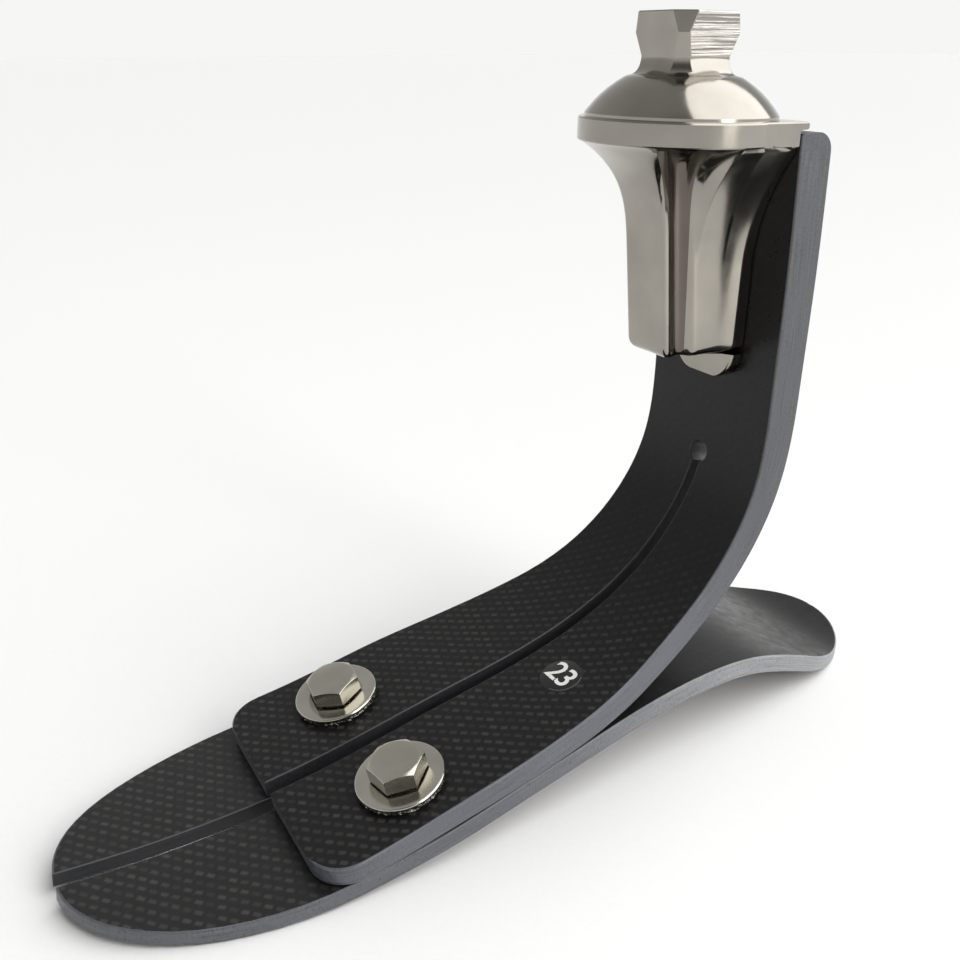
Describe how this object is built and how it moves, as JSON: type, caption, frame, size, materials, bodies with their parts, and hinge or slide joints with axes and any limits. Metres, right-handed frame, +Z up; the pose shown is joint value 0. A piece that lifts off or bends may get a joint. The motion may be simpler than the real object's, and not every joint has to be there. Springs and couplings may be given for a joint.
{
  "type": "prosthetic foot",
  "caption": "High-ankle carbon-fibre prosthetic foot: a curved upper spring bolted to a full-length split sole spring, with a metal adapter ending in a male pyramid.",
  "frame": {"origin": "bottom centre of the whole foot, on the floor it stands on", "axes": "+Z up; +Y from the toe to the heel; +X to the foot's left side"},
  "size_m": [0.0684, 0.2302, 0.1768],
  "materials": {
    "carbon": "woven carbon-fibre laminate, satin to gloss",
    "polished_steel": "polished",
    "plain_steel": "plain, slightly dull",
    "label_film": "printed film"
  },
  "bodies": {
    "root": {"ankle_spring": "carbon", "forefoot_bolt_left": "polished_steel", "forefoot_bolt_right": "polished_steel", "pyramid_adapter": "polished_steel", "rear_bolt_lower": "polished_steel", "rear_bolt_upper": "polished_steel", "rear_washer_lower": "plain_steel", "rear_washer_upper": "plain_steel", "size_label": "label_film", "sleeve_nut_left": "plain_steel", "sleeve_nut_right": "plain_steel", "sole_spring": "carbon", "under_washer_left": "plain_steel", "under_washer_right": "plain_steel", "washer_left": "polished_steel", "washer_right": "polished_steel"}
  },
  "joints": []
}
